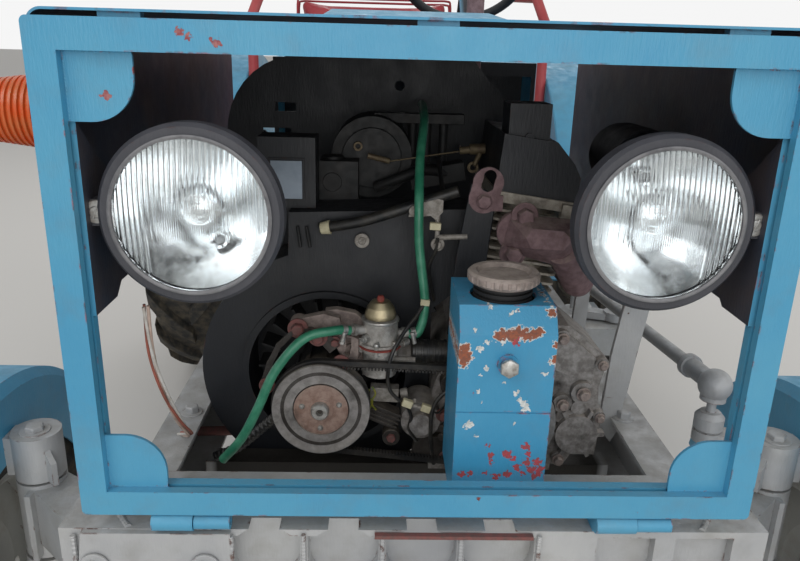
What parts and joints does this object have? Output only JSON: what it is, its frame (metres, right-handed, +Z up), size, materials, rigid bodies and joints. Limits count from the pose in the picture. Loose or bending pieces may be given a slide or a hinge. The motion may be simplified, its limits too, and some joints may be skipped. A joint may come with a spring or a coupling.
{
  "type": "vintage tractor",
  "caption": "Small open farm tractor with a tilting bonnet, bare grille frame, air-cooled engine, steered front axle and lugged rear wheels.",
  "frame": {"origin": "ground level under the middle of the tractor's outline", "axes": "+Z up, the front faces -Y, +X is the tractor's left"},
  "size_m": [1.57, 2.5899, 1.61],
  "materials": {
    "blue_paint": "old brushed-on blue paint, chipped and faded",
    "grey_paint": "dull silver-grey paint with rust at the edges",
    "black_paint": "black sheet paint, dusty and worn",
    "dark_steel": "oily dark steel under dust",
    "rusty_steel": "surface rust",
    "cast_aluminium": "grimy sand-cast aluminium",
    "red_paint": "red frame paint",
    "red_vinyl": "worn red vinyl cover",
    "tyre_rubber": "dusty black tyre rubber",
    "wheel_paint": "grey wheel paint with dirt",
    "lamp_glass": "pressed fluted glass",
    "orange_lens": "orange lens plastic",
    "red_lens": "dark red lens plastic",
    "green_hose": "green fuel hose, soft shine",
    "brass": "yellow passivated and brass fittings, dirty",
    "belt_rubber": "matt black rubber",
    "lead_sleeve": "cream and pink wire sleeve"
  },
  "bodies": {
    "chassis": {"frame_rails": "grey_paint", "axle_beam": "grey_paint", "hinge_seats": "blue_paint", "front_tower": "blue_paint", "tower_cap": "dark_steel", "crankcase": "cast_aluminium", "cylinders": "cast_aluminium", "rocker_cover": "black_paint", "exhaust_elbow": "rusty_steel", "exhaust_stack": "rusty_steel", "fan_cowl": "black_paint", "alternator": "dark_steel", "crank_pulley": "dark_steel", "drive_belt": "belt_rubber", "fuel_pump": "brass", "fuel_hoses": "green_hose", "engine_brackets": "cast_aluminium", "adjusting_arm": "dark_steel", "lifting_eye": "rusty_steel", "air_filter": "black_paint", "control_box": "black_paint", "engine_pipes": "belt_rubber", "lamp_lead": "lead_sleeve", "bulkhead": "black_paint", "gearbox": "cast_aluminium", "rear_axle": "dark_steel", "footboards": "blue_paint", "seat": "red_vinyl", "seat_frame": "red_paint", "dashboard": "blue_paint", "steering_box": "grey_paint", "rear_fenders": "blue_paint", "rear_lamps": "red_lens", "drawbar": "dark_steel"},
    "bonnet": {"bonnet_frame": "blue_paint", "bonnet_skin": "blue_paint", "lamp_brackets": "blue_paint", "lamp_shells": "black_paint", "lamp_glasses": "lamp_glass", "indicators": "orange_lens"},
    "knuckle_left": {"knuckle_left": "grey_paint", "front_fender_left": "blue_paint"},
    "knuckle_right": {"knuckle_right": "grey_paint", "front_fender_right": "blue_paint"},
    "front_wheel_left": {"front_tyre_left": "tyre_rubber", "front_rim_left": "wheel_paint"},
    "front_wheel_right": {"front_tyre_right": "tyre_rubber", "front_rim_right": "wheel_paint"},
    "rear_wheel_left": {"rear_tyre_left": "tyre_rubber", "rear_rim_left": "wheel_paint"},
    "rear_wheel_right": {"rear_tyre_right": "tyre_rubber", "rear_rim_right": "wheel_paint"},
    "tie_rod": {"tie_rod": "grey_paint"},
    "drag_link": {"drag_link": "grey_paint"},
    "drop_arm": {"drop_arm": "grey_paint"},
    "steering_wheel": {"steering_wheel": "black_paint"}
  },
  "joints": [
    {"name": "bonnet_tilt", "type": "hinge", "parent": "chassis", "child": "bonnet", "pos_m": [0, -1.199, 0.648], "axis": [1, 0, 0], "range_deg": [0, 80]},
    {"name": "steer_left", "type": "hinge", "parent": "chassis", "child": "knuckle_left", "pos_m": [0.55, -0.965, 0.33], "axis": [0, 0, 1], "range_deg": [-32, 32]},
    {"name": "steer_right", "type": "hinge", "parent": "chassis", "child": "knuckle_right", "pos_m": [-0.55, -0.965, 0.33], "axis": [0, 0, 1], "range_deg": [-32, 32]},
    {"name": "tie_rod_swing", "type": "hinge", "parent": "knuckle_left", "child": "tie_rod", "pos_m": [0.55, -0.855, 0.38], "axis": [0, 0, 1], "range_deg": [-32, 32]},
    {"name": "drag_link_swing", "type": "hinge", "parent": "knuckle_left", "child": "drag_link", "pos_m": [0.46, -0.935, 0.702], "axis": [0, 0, 1], "range_deg": [-32, 32]},
    {"name": "drop_arm_swing", "type": "hinge", "parent": "chassis", "child": "drop_arm", "pos_m": [0.495, -0.365, 0.6], "axis": [0, 0, 1], "range_deg": [-32, 32]},
    {"name": "steering_wheel_turn", "type": "hinge", "parent": "chassis", "child": "steering_wheel", "pos_m": [0.174, 0.265, 1.4], "axis": [0, 0.766, 0.6428], "range_deg": [-260, 260]},
    {"name": "front_left_spin", "type": "hinge", "parent": "knuckle_left", "child": "front_wheel_left", "pos_m": [0.68, -0.965, 0.33], "axis": [1, 0, 0], "continuous": true},
    {"name": "front_right_spin", "type": "hinge", "parent": "knuckle_right", "child": "front_wheel_right", "pos_m": [-0.68, -0.965, 0.33], "axis": [1, 0, 0], "continuous": true},
    {"name": "rear_left_spin", "type": "hinge", "parent": "chassis", "child": "rear_wheel_left", "pos_m": [0.65, 0.745, 0.55], "axis": [1, 0, 0], "continuous": true},
    {"name": "rear_right_spin", "type": "hinge", "parent": "chassis", "child": "rear_wheel_right", "pos_m": [-0.65, 0.745, 0.55], "axis": [1, 0, 0], "continuous": true}
  ],
  "couplings": [
    {"joint": "steer_right", "follows": "steer_left", "ratio": 1},
    {"joint": "tie_rod_swing", "follows": "steer_left", "ratio": -1},
    {"joint": "drag_link_swing", "follows": "steer_left", "ratio": -1},
    {"joint": "drop_arm_swing", "follows": "steer_left", "ratio": 1},
    {"joint": "steering_wheel_turn", "follows": "steer_left", "ratio": 8}
  ]
}
